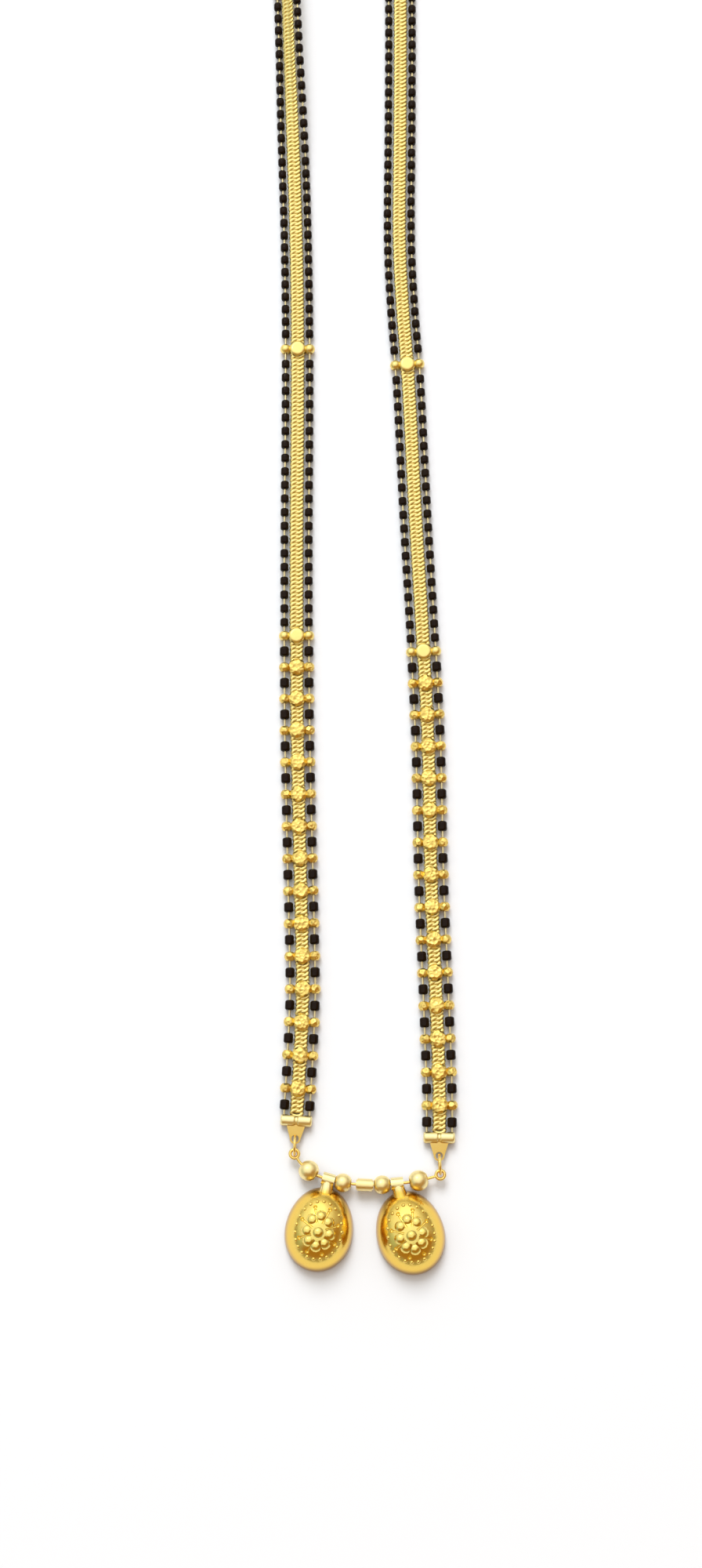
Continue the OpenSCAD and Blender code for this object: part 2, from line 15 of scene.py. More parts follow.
import bmesh
import bpy
import numpy as np
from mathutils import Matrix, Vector


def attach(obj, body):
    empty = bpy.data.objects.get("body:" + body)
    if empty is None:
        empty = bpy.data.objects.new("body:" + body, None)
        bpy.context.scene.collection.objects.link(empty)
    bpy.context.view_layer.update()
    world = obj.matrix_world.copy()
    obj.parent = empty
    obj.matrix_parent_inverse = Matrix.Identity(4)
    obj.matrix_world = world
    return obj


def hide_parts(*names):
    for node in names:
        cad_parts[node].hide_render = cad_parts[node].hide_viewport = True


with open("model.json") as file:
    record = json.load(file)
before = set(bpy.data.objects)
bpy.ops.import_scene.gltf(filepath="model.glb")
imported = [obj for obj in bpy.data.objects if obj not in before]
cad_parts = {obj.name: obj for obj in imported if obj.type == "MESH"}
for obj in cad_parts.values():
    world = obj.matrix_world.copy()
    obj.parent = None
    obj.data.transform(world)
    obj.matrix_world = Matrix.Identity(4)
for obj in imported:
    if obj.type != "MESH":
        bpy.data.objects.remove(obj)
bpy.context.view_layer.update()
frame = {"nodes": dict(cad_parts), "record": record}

MM = 0.001
print("solids in the frame:", len(frame["nodes"]))

# %% [markdown]
# ## Node trees as sums
# Materials and Geometry Nodes both come down to sockets joined by links. Wiring them one by one
# is hard to read, so a small class wraps a socket: a sum on it adds the Math node that does it.
# Every other kind of node comes from one method, which takes the node's type, its settings and
# what goes into its sockets.

# %% Sockets and trees
class Value:
    """A socket of a tree. Sums on it add Math nodes."""

    def __init__(self, nodes, socket):
        self.nodes = nodes
        self.socket = socket

    def out(self, name):
        """Another output of the same node."""
        return Value(self.nodes, self.socket.node.outputs[name])

    def math(self, operation, *values):
        return self.nodes.add("ShaderNodeMath", {"operation": operation}, values)

    def __add__(self, other):
        return self.math("ADD", self, other)

    def __sub__(self, other):
        return self.math("SUBTRACT", self, other)

    def __rsub__(self, other):
        return self.math("SUBTRACT", other, self)

    def __mul__(self, other):
        return self.math("MULTIPLY", self, other)

    __radd__, __rmul__ = __add__, __mul__


class Nodes:
    """A tree that is being made."""

    def __init__(self, tree):
        self.tree = tree

    def add(self, kind, settings=None, sockets=(), output=0):
        """A new node. Its sockets are given by number or by name."""
        node = self.tree.nodes.new(kind)
        for name, setting in (settings or {}).items():
            setattr(node, name, setting)
        named = sockets.items() if isinstance(sockets, dict) else enumerate(sockets)
        for name, value in named:
            if isinstance(value, Value):
                self.tree.links.new(value.socket, node.inputs[name])
            else:
                node.inputs[name].default_value = value
        return Value(self, node.outputs[output]) if node.outputs else node

    def feed(self, node, values):
        """Links by label, for a node that has one label several times, once for each mode."""
        for label, value in values.items():
            socket = next(s for s in node.inputs if s.name == label and s.enabled)
            self.tree.links.new(value.socket, socket)


print("sums on sockets: + - *")

# %% [markdown]
# ## What a finish is mixed from
# Metal and glass are made of the same three things. Soft noise lets a value drift over the
# surface, a fade steps softly between two heights or places, and a mix lays one colour over
# another. A picture could hold all this, but maths on Object coordinates stays sharp at any
# distance and needs no unwrapping.

# %% Parts of a finish
def finish_of(name, metallic):
    """A new material, its tree and its shader."""
    material = bpy.data.materials.new(name)
    material.use_nodes = True
    shader = material.node_tree.nodes["Principled BSDF"]
    shader.inputs["Metallic"].default_value = metallic
    print("finish:", name)
    return material, Nodes(material.node_tree), shader


def noise(nodes, size):
    """Soft noise whose spots are about so many millimetres wide."""
    place = nodes.add("ShaderNodeTexCoord", output="Object")
    sockets = {"Vector": place, "Scale": 1 / (size * MM), "Detail": 2.0}
    return nodes.add("ShaderNodeTexNoise", {}, sockets)


def fade(nodes, value, start, end):
    """A soft step from 0 at start to 1 at end."""
    sockets = {"Value": value, "From Min": start, "From Max": end}
    return nodes.add("ShaderNodeMapRange", {"interpolation_type": "SMOOTHSTEP"}, sockets)


def mixed(nodes, share, first, second):
    """Two colours, or colour sockets, mixed."""
    first, second = (c if isinstance(c, Value) else (*c, 1) for c in (first, second))
    sockets = {0: share, 6: first, 7: second}
    return nodes.add("ShaderNodeMix", {"data_type": "RGBA"}, sockets, output=2)


# %% [markdown]
# ## Gold
# The jewellery is brass with a bright gold plating. Plated metal is never one flat colour.
# The tone follows the height above the table: the raised places are painted paler and more lemon,
# as painted highlight, and the low places a deeper orange, as painted shade. On top of that the
# colour drifts a little, the polish is not quite even, and the skin has a faint ripple that
# breaks up reflections.
#
# Each kind of piece has its own numbers in this one recipe. The vatis are tall, so their tone
# fades over more height. Their feet are painted darker, as painted shade at the table, and the
# raised metal of their bails is paler. The balls and the end bars have a pale light tone, a
# painted highlight on their tops. The bars of soldered balls have small cut facets that glint.
# The flat chain and the wires are drawn, and left more satin.

# %% The recipe for gold
DRIFT_SIZE, SKIN_SIZE, FACET_SIZE = 6, 0.9, 0.9
# The share of the light tone: what comes with height, which is painted highlight and shade,
# what drifts, and what it starts from.
HEIGHT_SHARE, DRIFT_SHARE, LEAST_SHARE = 0.8, 0.3, -0.05
# How much the roughness varies over the skin.
UNEVEN = 0.1
# The painted shade at the foot is darkest up to this share of its height.
FOOT_START = 0.4
# Painted shade at the foot of the vatis, and a pale tone that is the painted highlight on the
# balls and also makes the raised metal of the vati bails paler.
FOOT_SHADE, PALE_BAIL_AND_HIGHLIGHT = (0.50, 0.26, 0.04), (0.98, 0.84, 0.42)
BAIL_HEIGHTS = (2.0, 3.5)


def metal(name, deep, light, low, high, rough=0.13, ripple=0.014, facet=0.0, foot_shade=0.0,
          bail=None):
    """Gold in its deep tone up to the height low and its light tone from the height high: painted
    shade low down and a painted highlight on top.

    The foot height is where painted shade at the foot ends, and bail gives the two places along y
    between which the raised metal turns pale. Heights and places are in millimetres.
    """
    material, nodes, shader = finish_of(name, 1.0)
    links = nodes.tree.links
    place = nodes.add("ShaderNodeTexCoord", output="Object")
    parts = nodes.add("ShaderNodeSeparateXYZ", {}, [place])
    height = parts.out("Z")
    # Painted highlight and shade: the light tone comes with the height above the table.
    painted_light_by_height = fade(nodes, height, low * MM, high * MM)
    drift, skin = noise(nodes, DRIFT_SIZE), noise(nodes, SKIN_SIZE)
    # Painted shade at the foot: the deep tone darkens to the foot colour towards the table.
    if foot_shade:
        deep = mixed(nodes, fade(nodes, height, FOOT_START * foot_shade * MM, foot_shade * MM), FOOT_SHADE, deep)
    share = painted_light_by_height * HEIGHT_SHARE + drift * DRIFT_SHARE + LEAST_SHARE
    tone = mixed(nodes, share, deep, light)
    # The raised metal of the bail is made paler.
    if bail:
        along = fade(nodes, parts.out("Y"), bail[0] * MM, bail[1] * MM)
        raised = fade(nodes, height, BAIL_HEIGHTS[0] * MM, BAIL_HEIGHTS[1] * MM)
        tone = mixed(nodes, along * raised, tone, PALE_BAIL_AND_HIGHLIGHT)
    links.new(tone.socket, shader.inputs["Base Color"])
    links.new((skin * UNEVEN + rough).socket, shader.inputs["Roughness"])
    relief = skin * ripple
    if facet:
        sockets = {"Vector": place, "Scale": 1 / (FACET_SIZE * MM)}
        relief = relief + nodes.add("ShaderNodeTexVoronoi", {"feature": "F1"}, sockets) * facet
    sockets = {"Height": relief, "Strength": 1.0, "Distance": MM}
    links.new(nodes.add("ShaderNodeBump", {}, sockets).socket, shader.inputs["Normal"])
    return material


# %% The golds
BAIL_FOOT, BAIL_TOP = -171.5, -169.5

# Each deep tone is painted shade low down, and each light tone a painted highlight on top. The
# wire gold is also darker, partly as painted shade on the wires between the beads.
gold = metal("gold", (0.90, 0.54, 0.09), (0.95, 0.71, 0.23), 1.3, 2.7)
row_gold = metal("row_gold", (0.90, 0.60, 0.15), PALE_BAIL_AND_HIGHLIGHT, 1.0, 3.0, rough=0.3)
spacer_gold = metal("spacer_gold", (0.89, 0.61, 0.14), (0.94, 0.77, 0.27), 0.8, 2.6, rough=0.24)
bar_gold = metal("bar_gold", (0.70, 0.45, 0.10), (0.99, 0.88, 0.46), 1.75, 2.1, rough=0.33)
vati_gold = metal("vati_gold", (0.91, 0.59, 0.095), (0.88, 0.71, 0.20), 3.5, 8.0,
                  foot_shade=4.2, bail=(BAIL_FOOT, BAIL_TOP))
cut_gold = metal("cut_gold", (0.87, 0.55, 0.11), (0.92, 0.70, 0.20), 0.8, 2.6,
                 rough=0.24, ripple=0.02, facet=0.3)
pale_gold = metal("pale_gold", (0.85, 0.63, 0.19), (0.89, 0.75, 0.29), 0.6, 2.0,
                  rough=0.27, ripple=0.01)
wire_gold = metal("wire_gold", (0.62, 0.50, 0.25), (0.74, 0.64, 0.36), 0.8, 1.8,
                  rough=0.3, ripple=0.0)

# %% [markdown]
# ## Black glass
# The beads are cut from drawn glass and tumbled, so they are smooth but not mirrors. The glass
# is black with a little brown in it, and slightly cloudy. It could be made see-through, but no
# light comes through glass this dark, so a plain dark base with a weak gloss is enough.

# %% Black glass
CLOUD_SIZE = 1.5
BLACK, BROWN_BLACK = (0.004, 0.001, 0.0005), (0.012, 0.005, 0.001)
POLISHED, CLOUDY = 0.06, 0.12
WEAK_GLOSS = 0.12

black_beads, nodes, shader = finish_of("black_beads", 0.0)
cloud = noise(nodes, CLOUD_SIZE)
shader.inputs["Specular IOR Level"].default_value = WEAK_GLOSS
tone = mixed(nodes, cloud, BLACK, BROWN_BLACK)
nodes.tree.links.new(tone.socket, shader.inputs["Base Color"])
nodes.tree.links.new((cloud * CLOUDY + POLISHED).socket, shader.inputs["Roughness"])

# %% [markdown]
# ## Who wears which finish
# The record gives each piece a slot: gold, pale gold or black beads. Within the gold slot some
# kinds of piece have a finish of their own, which is found by a part of the piece's name.

# %% Finishes of the pieces
slots = {p["node"]: p["material_slot"] for p in frame["record"]["subparts"]}
slot_finishes = {"gold": gold, "pale_gold": pale_gold, "black_beads": black_beads}
own_finishes = {
    "vati": vati_gold, "ball_bars": cut_gold, "spacer": spacer_gold, "end_bar": bar_gold,
    "back_bar": bar_gold, "ball_": row_gold, "barrel": row_gold, "thread": wire_gold,
}


def finish_for(node):
    """The first finish of its own that fits the node's name, or else its slot's."""
    own = [finish for part, finish in own_finishes.items() if part in node]
    return own[0] if own else slot_finishes[slots[node]]


print("pieces in each slot:", {s: list(slots.values()).count(s) for s in slot_finishes})

# %% [markdown]
# ## Polish on the solids
# The solids come as loose flat triangles. Polished metal needs smooth shading: a copy of each
# is merged into one skin, edges that are sharper than an angle stay crisp, and the normals are
# weighted by the size of the faces so that the flat places stay flat. The thin wires have few
# sides, so they get a wider angle.

# %% Dressing a piece
def plain_mesh(shown, name):
    """The evaluated mesh of an object, as an object with no modifier."""
    depsgraph = bpy.context.evaluated_depsgraph_get()
    mesh = bpy.data.meshes.new_from_object(shown.evaluated_get(depsgraph))
    bpy.data.objects.remove(shown)
    piece = bpy.data.objects.new(name, mesh)
    mesh.name = name
    bpy.context.scene.collection.objects.link(piece)
    return piece


def dressed(piece, slot, finish, *nodes):
    """Gives a piece its finish, and hides the solids it stands for."""
    piece.data.materials.clear()
    piece.data.materials.append(finish)
    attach(piece, "root")
    if nodes:
        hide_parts(*nodes)


# %% Polished copies
WELD = 0.001
WIRES = ("thread", "hook", "row_wire")
WIRE_ANGLE, EDGE_ANGLE = 60, 33
MADE_ELSEWHERE = ("chain", "upper_string")


def polished(node):
    """A smooth copy of a solid, which replaces it."""
    mesh = frame["nodes"][node].data.copy()
    if "custom_normal" in mesh.attributes:
        mesh.attributes.remove(mesh.attributes["custom_normal"])
    skin = bmesh.new()
    skin.from_mesh(mesh)
    bmesh.ops.remove_doubles(skin, verts=skin.verts, dist=WELD * MM)
    skin.to_mesh(mesh)
    skin.free()
    mesh.shade_smooth()
    angle = WIRE_ANGLE if node.endswith(WIRES) else EDGE_ANGLE
    mesh.set_sharp_from_angle(angle=math.radians(angle))
    piece = bpy.data.objects.new(node, mesh)
    bpy.context.scene.collection.objects.link(piece)
    piece.modifiers.new("weighted", "WEIGHTED_NORMAL").keep_sharp = True
    dressed(plain_mesh(piece, node + "_polished"), slots[node], finish_for(node), node)
    return len(mesh.vertices)


kept = [node for node in slots if not node.endswith(MADE_ELSEWHERE)]
print("polished:", len(kept), "pieces,", sum(polished(node) for node in kept), "points")

# %% [markdown]
# ## Places along a strap
# Everything on a strap has a place along its middle line, counted from the front end bar. The
# places follow from how many pairs of beads each stretch has and how far apart they are, and so
# does the whole length. The low spacer stands half a pitch past the last pair of large beads.

# %% Places along a strap
LOWER_COUNT, LOWER_PITCH = 15, 8.15
MIDDLE_COUNT, MIDDLE_PITCH = 20, 3.62
UPPER_COUNT, UPPER_PITCH = 40, 3.4
BAR_TO_BEAD = 3.7
LOW_SPACER_TO_BEAD = 3.5
HIGH_SPACER_TO_BEAD = 4.1

LOW_SPACER = BAR_TO_BEAD + (LOWER_COUNT - 0.5) * LOWER_PITCH
MIDDLE_LAST = LOW_SPACER + LOW_SPACER_TO_BEAD + (MIDDLE_COUNT - 1) * MIDDLE_PITCH
HIGH_SPACER = MIDDLE_LAST + HIGH_SPACER_TO_BEAD
UPPER_FIRST = HIGH_SPACER + HIGH_SPACER_TO_BEAD
STRAP_LENGTH = UPPER_FIRST + (UPPER_COUNT - 1) * UPPER_PITCH + BAR_TO_BEAD
print("spacers at", round(LOW_SPACER, 3), round(HIGH_SPACER, 3), "of", round(STRAP_LENGTH, 3))

# %% [markdown]
# ## The line of a strap
# The middle line is a smooth curve through a few chosen points, drawn to the length of what
# hangs on it. The upper part of the left strap tips onto its outer edge, so the direction across
# the strap leans with it and is kept with each point.

# %% Routes of the straps
ROUTES = {
    "left": [[-15.2, -155.2], [-14.6, -145], [-13.9, -130], [-13.8, -118], [-14.6, -88],
             [-15.4, -55], [-15.7, -11], [-15.6, 22], [-15.7, 50], [-16.2, 75], [-17.1, 100],
             [-18.5, 133], [-19.2, 155], [-18.9, 169], [-16.8, 182]],
    "right": [[19.1, -158.3], [19.2, -147], [18.6, -126], [17.5, -95], [17, -62], [15.9, -36],
              [14, 0], [12.4, 35], [11, 55], [10.2, 75], [10.5, 105], [10.7, 135],
              [10.5, 154], [9.9, 167], [7.9, 179.8]],
}
STARTS = {"left": (-15.7373, -153.743), "right": (19.1975, -157.852)}
STRAP_HEIGHT = 1.4
STRING_GAP = 6.2
TIPS = {
    "left": {"share": [0, 0.73, 0.785, 0.825, 0.87, 0.93, 1],
             "degrees": [0, 0, -18, -30, -33, -20, 0]},
    "right": {"share": [0, 1], "degrees": [0, 0]},
}


# %% Middle lines
def smooth(points, steps=6):
    """A smooth curve that runs through every point."""
    p = np.array(points, float)
    p = np.vstack([2 * p[0] - p[1], p, 2 * p[-1] - p[-2]])
    line = []
    for a, b, c, d in zip(p, p[1:], p[2:], p[3:]):
        for t in np.arange(steps) / steps:
            line.append((2 * b + (c - a) * t + (2 * a - 5 * b + 4 * c - d) * t ** 2
                         + (3 * b - a - 3 * c + d) * t ** 3) / 2)
    return np.array(line + [p[-2]])


def middle_line(side):
    """Points of a strap a millimetre apart, and the direction across it at each."""
    line = smooth(ROUTES[side])
    run = np.append(0, np.cumsum(np.linalg.norm(np.diff(line, axis=0), axis=1)))
    line = STARTS[side] + (line - line[0]) * STRAP_LENGTH / run[-1]
    run *= STRAP_LENGTH / run[-1]
    at = np.linspace(0, STRAP_LENGTH, round(STRAP_LENGTH) + 1)
    x, y = np.interp(at, run, line[:, 0]), np.interp(at, run, line[:, 1])
    heading = np.arctan2(np.gradient(y), np.gradient(x)) - math.pi / 2
    tips = TIPS[side]
    tip = np.radians(np.interp(at / STRAP_LENGTH, tips["share"], tips["degrees"]))
    z = STRAP_HEIGHT + STRING_GAP / 2 * np.sin(np.abs(tip))
    across = [np.cos(tip) * np.cos(heading), np.cos(tip) * np.sin(heading), -np.sin(tip)]
    return np.stack([x, y, z], 1) * MM, np.stack(across, 1)


def line_object(side):
    """The middle line as an object, with the direction across as an attribute."""
    points, across = middle_line(side)
    mesh = bpy.data.meshes.new(side + "_line")
    mesh.from_pydata(points.tolist(), [(i, i + 1) for i in range(len(points) - 1)], [])
    attribute = mesh.attributes.new("across", "FLOAT_VECTOR", "POINT")
    attribute.data.foreach_set("vector", across.astype(np.float32).ravel())
    shown = bpy.data.objects.new(side + "_line", mesh)
    bpy.context.scene.collection.objects.link(shown)
    return shown


for side in ROUTES:
    points = middle_line(side)[0]
    print(side, "line:", len(points), "points, highest", round(points[:, 2].max() / MM, 2))

# %% [markdown]
# ## A tree that strings pieces
# Beads and links are the same problem: one small piece, set again and again at an even pitch
# along a line, and turned with it. Copies could be made in a loop, but in Geometry Nodes the
# pitch, the count and the offset stay inputs that can be changed. There the line becomes a
# curve, a row of points is sampled from it by length, each point is moved across by the string's
# offset, and a piece is set on each point with its y axis along the line. Real pieces don't lie
# all alike, so each is turned about the line by a random angle, with a fixed seed: a bead by any
# angle, and a link by very little.

# %% Trees with named inputs
def tree_with(name, inputs):
    """A new tree, and the node that gives its inputs."""
    tree = bpy.data.node_groups.new(name, "GeometryNodeTree")
    for label, kind in {"Geometry": "Geometry", **inputs}.items():
        tree.interface.new_socket(label, in_out="INPUT", socket_type="NodeSocket" + kind)
    tree.interface.new_socket("Geometry", in_out="OUTPUT", socket_type="NodeSocketGeometry")
    nodes = Nodes(tree)
    return nodes, nodes.add("NodeGroupInput")


def across_by(nodes, across, distance):
    """A step of so many metres across the strap."""
    sockets = {0: across, "Scale": distance}
    return nodes.add("ShaderNodeVectorMath", {"operation": "SCALE"}, sockets)


def ended(nodes, geometry, finish):
    """Closes a tree: its instances become a mesh with a material."""
    real = nodes.add("GeometryNodeRealizeInstances", {}, [geometry])
    done = nodes.add("GeometryNodeSetMaterial", {}, {"Geometry": real, "Material": finish})
    nodes.add("NodeGroupOutput", {}, [done])
    print(nodes.tree.name, "tree:", len(nodes.tree.nodes), "nodes")
    return nodes.tree


def run_through(tree, side, name, values):
    """A strap's line put through a tree, as an object with a plain mesh."""
    shown = line_object(side)
    modifier = shown.modifiers.new(tree.name, "NODES")
    modifier.node_group = tree
    for item in tree.interface.items_tree:
        if item.item_type == "SOCKET" and item.in_out == "INPUT" and item.name in values:
            modifier[item.identifier] = values[item.name]
    return plain_mesh(shown, name)


# %% The stringing tree
def stringing_tree():
    nodes, given = tree_with("strung_pieces", {
        "Piece": "Object", "First": "Float", "Pitch": "Float", "Count": "Int",
        "Offset": "Float", "Size": "Vector", "Turn": "Float", "Seed": "Int",
        "Finish": "Material"})
    index = nodes.add("GeometryNodeInputIndex")
    along = index * given.out("Pitch") + given.out("First")
    across = nodes.add(
        "GeometryNodeInputNamedAttribute", {"data_type": "FLOAT_VECTOR"}, ["across"])
    curve = nodes.add("GeometryNodeMeshToCurve", {}, [given])
    sampled = nodes.add(
        "GeometryNodeSampleCurve", {"data_type": "FLOAT_VECTOR", "mode": "LENGTH"},
        {"Curves": curve, "Value": across, "Length": along}, output="Position")
    side = sampled.out("Value")
    step = across_by(nodes, side, given.out("Offset"))
    place = nodes.add("ShaderNodeVectorMath", {"operation": "ADD"}, [sampled, step])
    points = nodes.add("GeometryNodePoints", {}, {"Count": given.out("Count"), "Position": place})
    facing = nodes.add(
        "FunctionNodeAxesToRotation", {"primary_axis": "Y", "secondary_axis": "X"},
        [sampled.out("Tangent"), side])
    turn = given.out("Turn")
    angle = nodes.add("FunctionNodeRandomValue", {"data_type": "FLOAT"}, output=1)
    nodes.feed(angle.socket.node, {"Min": turn * -1, "Max": turn, "Seed": given.out("Seed")})
    spin = nodes.add("FunctionNodeAxisAngleToRotation", {}, {"Axis": (0, 1, 0), "Angle": angle})
    turned = nodes.add("FunctionNodeRotateRotation", {"rotation_space": "LOCAL"}, [facing, spin])
    piece = nodes.add("GeometryNodeObjectInfo", {}, [given.out("Piece")], output="Geometry")
    strung = nodes.add(
        "GeometryNodeInstanceOnPoints", {},
        {"Points": points, "Instance": piece, "Rotation": turned, "Scale": given.out("Size")})
    return ended(nodes, strung, given.out("Finish"))


STRINGING = stringing_tree()

# %% [markdown]
# ## The bead and the link
# A bead is a short barrel of glass with a drilled hole: its outline is spun round the thread's
# line. The chain is a flat curb chain, the usual one where a chain must lie flat between two
# strings. Each link is an oval of flattened wire that is twisted, so that its left shoulder
# passes over the next link and its right shoulder under it. Both have few faces, because they
# are repeated hundreds of times, and smooth shading makes them round.

# %% A skin over rings
AROUND = 12


def ring_mesh(name, rings):
    """A skin over closed rings of points, the last of them joined to the first."""
    sides = len(rings[0])
    total = len(rings) * sides
    faces = []
    for first in range(0, total, sides):
        for k in range(sides):
            here, beside = first + k, first + (k + 1) % sides
            faces.append((here, beside, (beside + sides) % total, (here + sides) % total))
    mesh = bpy.data.meshes.new(name)
    mesh.from_pydata([tuple(point) for ring in rings for point in ring], [], faces)
    skin = bmesh.new()
    skin.from_mesh(mesh)
    bmesh.ops.recalc_face_normals(skin, faces=skin.faces)
    skin.to_mesh(mesh)
    skin.free()
    mesh.shade_smooth()
    print(name, "faces:", len(mesh.polygons))
    return bpy.data.objects.new(name, mesh)


# %% The bead
BEAD_OUTLINE = [(0.19, -0.5), (0.26, -0.5), (0.43, -0.43), (0.5, -0.26),
                (0.5, 0.26), (0.43, 0.43), (0.26, 0.5), (0.19, 0.5)]


def bead():
    """A bead one unit wide and long, its hole along y."""
    turns = [2 * math.pi * k / AROUND for k in range(AROUND)]
    return ring_mesh("bead", [[(r * math.cos(t), y, r * math.sin(t)) for t in turns]
                              for r, y in BEAD_OUTLINE])


bead_piece = bead()

# %% The link
LINK = {"width": 3.4, "length": 2.5, "wire": 0.95, "thick": 0.5, "flat": 0.6, "twist": 0.2}


def link():
    """A twisted oval of flat wire, in metres."""
    along, wide = (LINK["length"] - LINK["wire"]) / 2, (LINK["width"] - LINK["wire"]) / 2
    half, thick, twist = LINK["wire"] / 2, LINK["thick"] / 2, LINK["twist"]
    flat = half * LINK["flat"]
    section = [(half, 0), (flat, thick), (-flat, thick),
               (-half, 0), (-flat, -thick), (flat, -thick)]
    rings = []
    for k in range(AROUND):
        t = 2 * math.pi * k / AROUND
        middle = Vector((wide * math.cos(t), along * math.sin(t), -twist * math.sin(2 * t)))
        ahead = Vector((-wide * math.sin(t), along * math.cos(t), -2 * twist * math.cos(2 * t)))
        out = ahead.cross(Vector((0, 0, 1))).normalized()
        up = out.cross(ahead).normalized()
        rings.append([(middle + out * x + up * y) * MM for x, y in section])
    return ring_mesh("link", rings)


link_piece = link()

# %% [markdown]
# ## The flat chain
# The chain runs from inside the front end bar to inside the back one, through the slots of all
# the bars between. It is a little narrower beside the large beads. The two widths meet inside
# the low spacer, where nothing shows.

# %% Chains
END_IN_BAR = 0.6
LINK_PITCH = 1.1
LINK_TURN, LINK_SEED = 0.03, 3
CHAIN_RUNS = {
    "low": {"start": END_IN_BAR, "end": LOW_SPACER, "width": 3.6},
    "high": {"start": LOW_SPACER, "end": STRAP_LENGTH - END_IN_BAR, "width": 3.8},
}


def joined(objects, name):
    """One object from several."""
    skin = bmesh.new()
    for part in objects:
        skin.from_mesh(part.data)
        bpy.data.objects.remove(part)
    mesh = bpy.data.meshes.new(name)
    skin.to_mesh(mesh)
    skin.free()
    piece = bpy.data.objects.new(name, mesh)
    bpy.context.scene.collection.objects.link(piece)
    return piece


def chain(side):
    """Both runs of a strap's chain, with whole links in each."""
    parts = []
    for name, run in CHAIN_RUNS.items():
        free = run["end"] - run["start"] - LINK["length"]
        count = int(free / LINK_PITCH) + 1
        parts.append(run_through(STRINGING, side, side + name, {
            "Piece": link_piece, "First": (run["start"] + LINK["length"] / 2) * MM,
            "Pitch": free / (count - 1) * MM, "Count": count, "Offset": 0.0,
            "Size": (run["width"] / LINK["width"], 1, 1), "Turn": LINK_TURN,
            "Seed": LINK_SEED, "Finish": pale_gold}))
    return joined(parts, side + "_flat_chain")


for side in ("left", "right"):
    piece = chain(side)
    dressed(piece, "pale_gold", pale_gold, side + "_chain")
    print(piece.name, "faces:", len(piece.data.polygons))

# %% [markdown]
# ## The upper strings
# Above the high spacer the small beads sit closer together, all the way round the neck. The
# frame has one plain tube for each of these strings. Here each is strung with its own beads,
# and its wire runs through them from one metal bar to the other. A second tree makes the wire:
# it cuts the strap's line to length, moves it across and sweeps a circle along it.

# %% The wire tree
def wire_tree():
    nodes, given = tree_with("wire", {
        "Offset": "Float", "From": "Float", "To": "Float", "Thickness": "Float",
        "Sides": "Int", "Finish": "Material"})
    across = nodes.add(
        "GeometryNodeInputNamedAttribute", {"data_type": "FLOAT_VECTOR"}, ["across"])
    step = across_by(nodes, across, given.out("Offset"))
    curve = nodes.add("GeometryNodeMeshToCurve", {}, [given])
    cut = nodes.add("GeometryNodeTrimCurve", {"mode": "LENGTH"}, [curve])
    nodes.feed(cut.socket.node, {"Start": given.out("From"), "End": given.out("To")})
    moved = nodes.add("GeometryNodeSetPosition", {}, {"Geometry": cut, "Offset": step})
    section = nodes.add(
        "GeometryNodeCurvePrimitiveCircle", {},
        {"Resolution": given.out("Sides"), "Radius": given.out("Thickness") * 0.5})
    tube = nodes.add(
        "GeometryNodeCurveToMesh", {},
        {"Curve": moved, "Profile Curve": section, "Fill Caps": True})
    return ended(nodes, tube, given.out("Finish"))


WIRE = wire_tree()

# %% Beads and wires of the upper stretch
STRINGS = {
    ("left", "outer"): -1, ("left", "inner"): 1,
    ("right", "outer"): 1, ("right", "inner"): -1,
}
BEAD_WIDTH, BEAD_LENGTH = 2.1, 2.2
BEAD_TURN, BEAD_SEED = 3.1, 7
THREAD, THREAD_SIDES = 0.5, 8
END_IN_SPACER = 1.25

for (side, string), hand in STRINGS.items():
    offset = hand * STRING_GAP / 2 * MM
    name = side + "_" + string
    beads = run_through(STRINGING, side, name + "_upper_beads", {
        "Piece": bead_piece, "First": UPPER_FIRST * MM, "Pitch": UPPER_PITCH * MM,
        "Count": UPPER_COUNT, "Offset": offset,
        "Size": (BEAD_WIDTH * MM, BEAD_LENGTH * MM, BEAD_WIDTH * MM),
        "Turn": BEAD_TURN, "Seed": BEAD_SEED, "Finish": black_beads})
    dressed(beads, "black_beads", black_beads, name + "_upper_string")
    wire = run_through(WIRE, side, name + "_upper_wire", {
        "Offset": offset, "From": (HIGH_SPACER + END_IN_SPACER) * MM,
        "To": (STRAP_LENGTH - END_IN_BAR) * MM, "Thickness": THREAD * MM,
        "Sides": THREAD_SIDES, "Finish": wire_gold})
    wire.data.shade_smooth()
    dressed(wire, "gold", wire_gold)
    print(name, "beads:", len(beads.data.polygons), "faces, wire:", len(wire.data.polygons))

# %% [markdown]
# ## Floor and lamps
# The photograph is taken from nearly straight above on a white table. The main light comes from
# beyond the top of the picture. It is a wide square, because a small lamp would draw hard
# shadows beside the vatis, and theirs are soft. It lights the table and the beads, and nothing
# mirrors it: what the metal mirrors is the room of the next step. A second, small lamp does the
# opposite. It throws no light on the table, and only sets a glint on glass and metal.

# %% Floor
FLOOR_HALF = 1.5
FLOOR_DROP = 0.02
FLOOR_WHITE = (0.715, 0.745, 0.795, 1)
MATT = 0.9

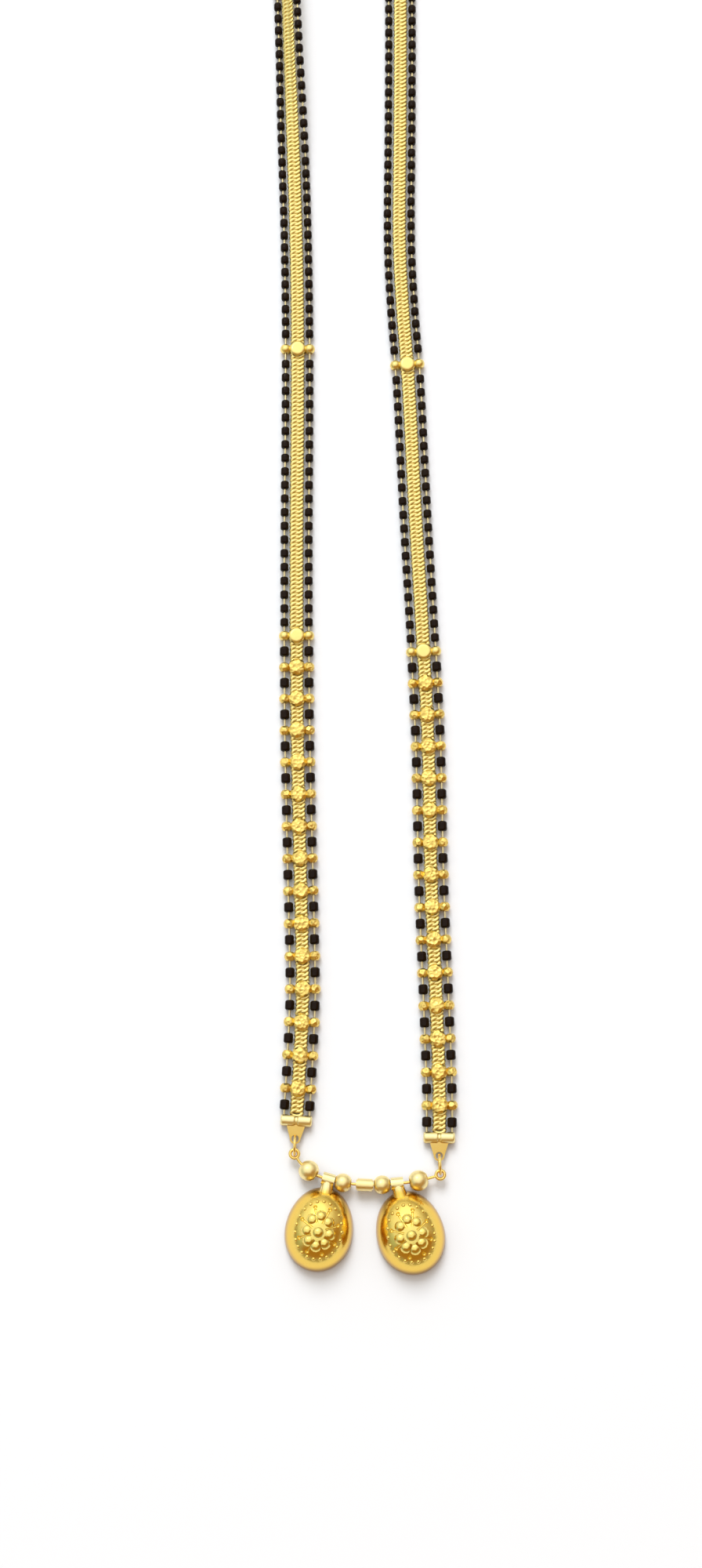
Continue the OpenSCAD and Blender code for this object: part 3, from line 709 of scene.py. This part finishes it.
floor_material, nodes, shader = finish_of("floor_white", 0.0)
shader.inputs["Base Color"].default_value = FLOOR_WHITE
shader.inputs["Roughness"].default_value = MATT
corners = [(x * FLOOR_HALF, y * FLOOR_HALF, 0) for x, y in ((-1, -1), (1, -1), (1, 1), (-1, 1))]
floor_mesh = bpy.data.meshes.new("floor")
floor_mesh.from_pydata(corners, [], [(0, 1, 2, 3)])
floor_mesh.materials.append(floor_material)
floor = bpy.data.objects.new("floor", floor_mesh)
floor.location.z = -FLOOR_DROP * MM
bpy.context.scene.collection.objects.link(floor)
print("floor:", 2 * FLOOR_HALF, "metres wide")

# %% Lamps
LIT_PLACE = (0, -0.05, 0)


def facing(seen, place, target):
    """Puts a lamp or camera at a place, looking at a target."""
    seen.location = place
    seen.rotation_euler = (Vector(target) - Vector(place)).to_track_quat("-Z", "Y").to_euler()
    bpy.context.scene.collection.objects.link(seen)


def panel(name, place, width, energy):
    """A square lamp that looks at the necklace."""
    light = bpy.data.lights.new(name, "AREA")
    light.shape = "RECTANGLE"
    light.size = light.size_y = width
    light.energy = energy
    lamp = bpy.data.objects.new(name, light)
    facing(lamp, place, LIT_PLACE)
    print("lamp:", name, energy, "watts")
    return lamp


panel("key", (-0.35, 2.2, 2.4), 1.6, 92).visible_glossy = False
panel("glint", (-0.5, 0.6, 1.2), 0.12, 1.0).visible_diffuse = False

# %% [markdown]
# ## The room that the gold mirrors
# Polished gold shows what is round it, so it needs a room. A world shader stands in for one. It
# looks at the direction in which a ray leaves. Overhead and behind the neck the room is bright,
# and a window glows there, which gives the pale tops. The walls are dimmer, cool on the left,
# warm on the right and darkest where they meet the table. In front of the table stands something
# brown, and it draws the dark crescent low on the vatis and the dark undersides of the balls.
# Panels could do the same, but soft edges between them would need many.

# %% The room
CEILING = {"way": (-0.2, 0.45, 0.87), "start": 0.35, "full": 0.8, "colour": (1.12, 1.12, 1.10)}
WINDOW = {"way": (-0.11, 0.66, 0.74), "start": 0.86, "full": 0.96, "colour": (1.7, 1.7, 1.6)}
BROWN = {"way": (0.35, -0.94, 0), "start": 0.0, "full": 0.35, "colour": (0.42, 0.21, 0.04)}
BROWN_BOTTOM, BROWN_TOP = (0.15, 0.35), (0.93, 0.8)
COOL_WALL, WARM_WALL, LOW_WALL = (0.52, 0.60, 0.54), (0.64, 0.53, 0.42), (0.38, 0.34, 0.27)
COOL_TO_WARM = (-0.6, 0.6)
LOW_TO_HIGH = (0.0, 0.4)

world = bpy.data.worlds.new("room")
world.use_nodes = True
nodes = Nodes(world.node_tree)
heading = nodes.add("ShaderNodeTexCoord", output="Generated")
parts = nodes.add("ShaderNodeSeparateXYZ", {}, [heading])
rightward, upward = parts.out("X"), parts.out("Z")


def towards(patch):
    """How much a ray leaves towards a patch of the room, from 0 to 1."""
    sockets = [heading, patch["way"]]
    facing_it = nodes.add("ShaderNodeVectorMath", {"operation": "DOT_PRODUCT"}, sockets, "Value")
    return fade(nodes, facing_it, patch["start"], patch["full"])


side_wall = mixed(nodes, fade(nodes, rightward, *COOL_TO_WARM), COOL_WALL, WARM_WALL)
room = mixed(nodes, fade(nodes, upward, *LOW_TO_HIGH), LOW_WALL, side_wall)
room = mixed(nodes, towards(CEILING), room, CEILING["colour"])
room = mixed(nodes, towards(WINDOW), room, WINDOW["colour"])
band = fade(nodes, upward, *BROWN_BOTTOM) * fade(nodes, upward, *BROWN_TOP)
room = mixed(nodes, band * towards(BROWN), room, BROWN["colour"])
world.node_tree.links.new(room.socket, world.node_tree.nodes["Background"].inputs["Color"])
bpy.context.scene.world = world
print("room:", len(world.node_tree.nodes), "nodes")

# %% [markdown]
# ## The camera
# The camera hangs above the vatis and looks down and a little up the straps, as the one of the
# photograph did. It could be placed by eye, but a lens that is worked out in pixels of the
# picture lets every place in the picture be compared: so many pixels of focal length for the
# picture's height, on a sensor of 36 mm.

# %% Camera
FOCAL_PIXELS = 3170
PICTURE_HEIGHT = 2000
SENSOR = 36
EYE, AIM = (-0.00235, -0.18462, 0.61335), (-0.00235, -0.06983, 0)

camera = bpy.data.cameras.new("camera")
camera.lens = FOCAL_PIXELS / PICTURE_HEIGHT * SENSOR
camera.clip_start = 0.01
camera.clip_end = 10
viewer = bpy.data.objects.new("camera", camera)
facing(viewer, EYE, AIM)
bpy.context.scene.camera = viewer
bpy.context.scene.view_settings.view_transform = "Standard"
print("lens:", camera.lens, "mm")
